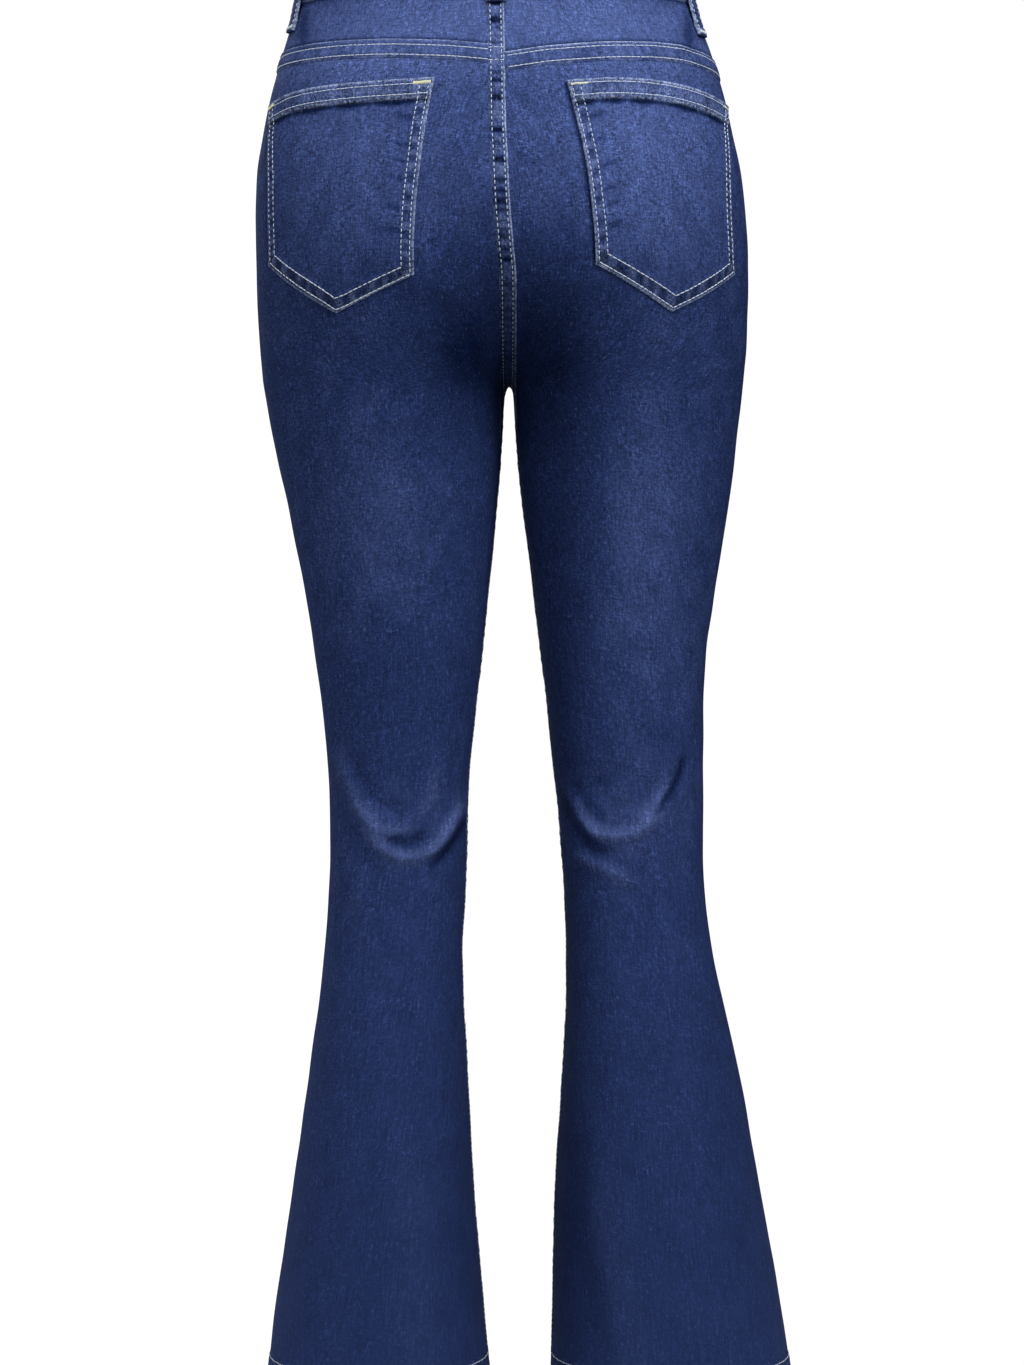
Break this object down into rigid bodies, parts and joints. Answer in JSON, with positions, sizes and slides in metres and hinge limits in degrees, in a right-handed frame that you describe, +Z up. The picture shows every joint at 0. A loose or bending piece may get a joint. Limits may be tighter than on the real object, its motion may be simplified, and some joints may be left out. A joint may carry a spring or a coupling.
{
  "type": "flared jeans",
  "caption": "High-waisted flared denim jeans filled out as if worn, with back yoke, patch seat pockets, scooped front pockets, belt loops, waistband and a button.",
  "frame": {"origin": "centre of the waist ring, in the plane where the garment is held on the body", "axes": "+Z up along the body, -Y towards the wearer's front, +X towards the wearer's left"},
  "size_m": [0.4099, 0.2429, 1.0864],
  "materials": {
    "denim_leg": "stretch twill denim, indigo, faded along seams and folds",
    "denim_seat": "the same denim, more faded over the yoke",
    "denim_pocket": "the same denim, with light worn edges",
    "denim_trim": "the same denim, folded and interfaced",
    "button_metal": "plain shank button, aged nickel"
  },
  "bodies": {
    "root": {"back_left": "denim_leg", "back_right": "denim_leg", "front_left": "denim_leg", "front_right": "denim_leg", "yoke_left": "denim_seat", "yoke_right": "denim_seat", "back_pocket_left": "denim_pocket", "back_pocket_right": "denim_pocket", "front_pocket_facing_left": "denim_leg", "front_pocket_facing_right": "denim_leg", "waistband": "denim_trim", "belt_loop_back": "denim_trim", "belt_loop_side_left": "denim_trim", "belt_loop_side_right": "denim_trim", "belt_loop_front_left": "denim_trim", "belt_loop_front_right": "denim_trim", "button": "button_metal"}
  },
  "joints": []
}
